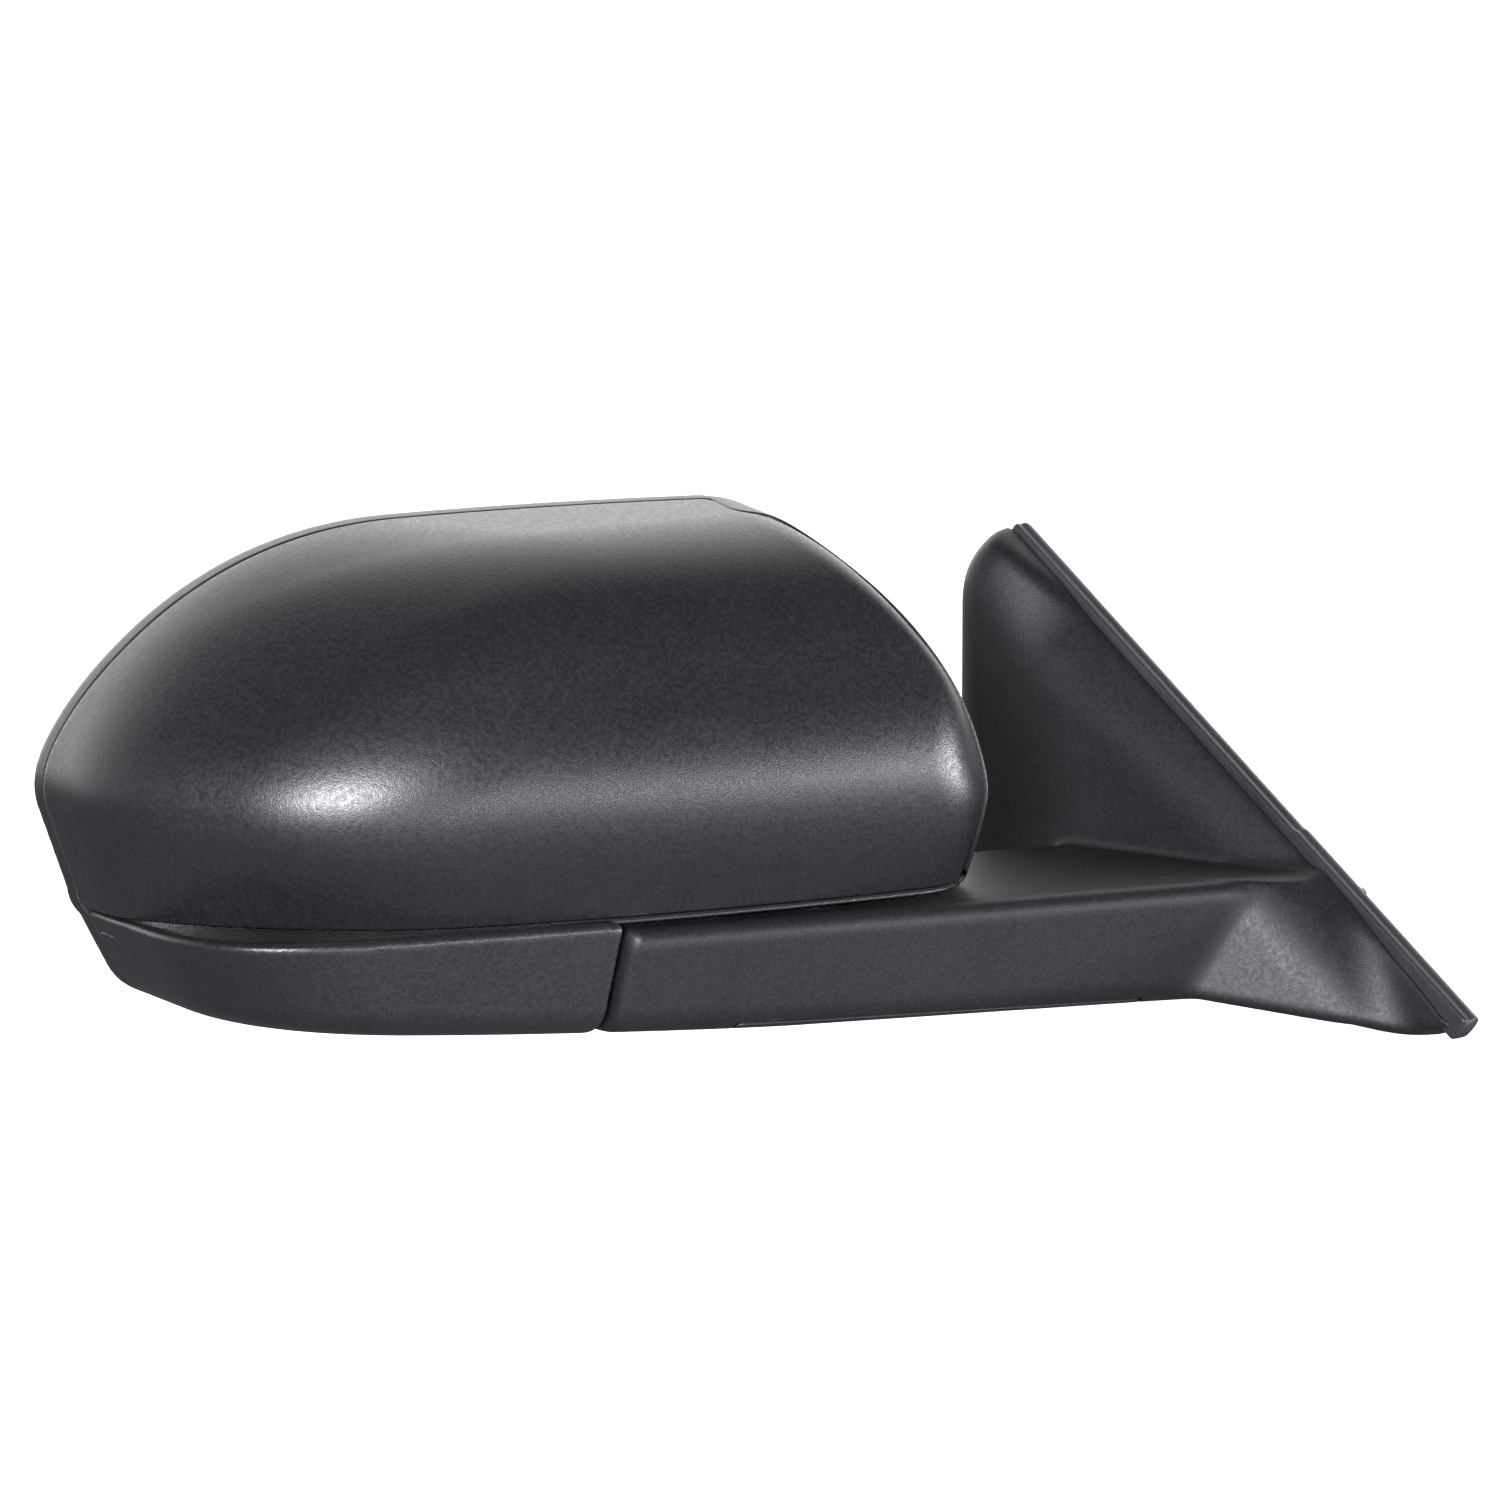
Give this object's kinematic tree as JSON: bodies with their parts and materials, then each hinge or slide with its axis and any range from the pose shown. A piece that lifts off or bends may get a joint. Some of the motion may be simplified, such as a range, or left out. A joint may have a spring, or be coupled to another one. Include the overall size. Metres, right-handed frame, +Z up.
{
  "type": "car side mirror",
  "caption": "Right-hand car door mirror: triangular sail base with a fixed arm, a folding head with a textured shell, and a tilting glass driven by jack screws.",
  "frame": {"origin": "on the face that bolts to the door, midway along the sail and level with the underside of the arm root", "axes": "+X points into the door, -X outboard along the arm, -Y towards the front of the car, +Z up"},
  "size_m": [0.3815, 0.263, 0.1551],
  "materials": {
    "grained_plastic": "charcoal, fine moulded grain",
    "black_plastic": "black, fine satin moulding",
    "black_rubber": "matt black",
    "cast_alloy": "as cast, shot blasted",
    "spring_steel": "drawn and oiled",
    "dark_steel": "phosphated",
    "plated_steel": "zinc plated",
    "white_plastic": "natural acetal",
    "heater_film": "foil on film",
    "mirror": "first-surface bright"
  },
  "bodies": {
    "base": {"base_housing": "grained_plastic", "arm_bottom_cover": "black_plastic", "base_bracket": "cast_alloy", "pivot_post": "spring_steel", "lower_detent_ring": "dark_steel", "fold_spring": "spring_steel", "spring_retainer": "plated_steel", "retaining_clip": "dark_steel", "mounting_stud_1": "plated_steel", "mounting_stud_2": "plated_steel", "mounting_stud_3": "plated_steel", "sail_gasket": "black_rubber", "sail_edge_seal": "black_rubber", "harness_cable": "black_rubber", "harness_grommet": "black_rubber", "connector_plug": "black_plastic", "bottom_cover_screw_1": "plated_steel", "bottom_cover_screw_2": "plated_steel", "bottom_cover_screw_3": "plated_steel"},
    "head": {"skull_cap": "grained_plastic", "lower_cover": "grained_plastic", "rear_housing": "black_plastic", "head_frame": "black_plastic", "actuator_front": "black_plastic", "actuator_rear": "black_plastic", "head_harness": "black_rubber", "upper_detent_ring": "dark_steel", "tilt_motor_v": "plated_steel", "tilt_motor_h": "plated_steel", "housing_screw_1": "plated_steel", "actuator_screw_1": "plated_steel", "detent_pin_1": "spring_steel", "housing_screw_2": "plated_steel", "actuator_screw_2": "plated_steel", "detent_pin_2": "spring_steel", "housing_screw_3": "plated_steel", "actuator_screw_3": "plated_steel", "detent_pin_3": "spring_steel", "lower_cover_screw_1": "plated_steel", "lower_cover_screw_2": "plated_steel"},
    "gimbal": {"tilt_gimbal": "white_plastic"},
    "glass": {"mirror_glass": "mirror", "heater_pad": "heater_film", "glass_backplate": "black_plastic"},
    "jack_v": {"jack_screw_v": "white_plastic"},
    "jack_h": {"jack_screw_h": "white_plastic"},
    "gear_v": {"drive_gear_v": "white_plastic"},
    "gear_h": {"drive_gear_h": "white_plastic"}
  },
  "joints": [
    {"name": "head_fold", "type": "hinge", "parent": "base", "child": "head", "pos_m": [-0.14624, 0.04248, 0.04], "axis": [0, 0, -1], "range_deg": [-50, 70]},
    {"name": "glass_pitch", "type": "hinge", "parent": "head", "child": "gimbal", "pos_m": [-0.20853, 0.10266, 0.088], "axis": [-0.9135, 0.4067, 0], "range_deg": [-7, 7]},
    {"name": "glass_yaw", "type": "hinge", "parent": "gimbal", "child": "glass", "pos_m": [-0.20853, 0.10266, 0.088], "axis": [0, 0, 1], "range_deg": [-6, 6]},
    {"name": "jack_v_slide", "type": "slide", "parent": "head", "child": "jack_v", "axis": [-0.4067, -0.9135, 0], "range_m": [-0.0036, 0.0036]},
    {"name": "jack_h_slide", "type": "slide", "parent": "head", "child": "jack_h", "axis": [-0.4067, -0.9135, 0], "range_m": [-0.0031, 0.0031]},
    {"name": "gear_v_spin", "type": "hinge", "parent": "head", "child": "gear_v", "pos_m": [-0.213, 0.09261, 0.06], "axis": [-0.4067, -0.9135, 0], "range_deg": [-195, 195]},
    {"name": "gear_h_spin", "type": "hinge", "parent": "head", "child": "gear_h", "pos_m": [-0.23858, 0.104, 0.088], "axis": [-0.4067, -0.9135, 0], "range_deg": [-168, 168]}
  ],
  "couplings": [
    {"joint": "jack_v_slide", "follows": "glass_pitch", "m_per_rad": 0.028},
    {"joint": "gear_v_spin", "follows": "glass_pitch", "ratio": 27.489},
    {"joint": "jack_h_slide", "follows": "glass_yaw", "m_per_rad": 0.028},
    {"joint": "gear_h_spin", "follows": "glass_yaw", "ratio": 27.489}
  ]
}
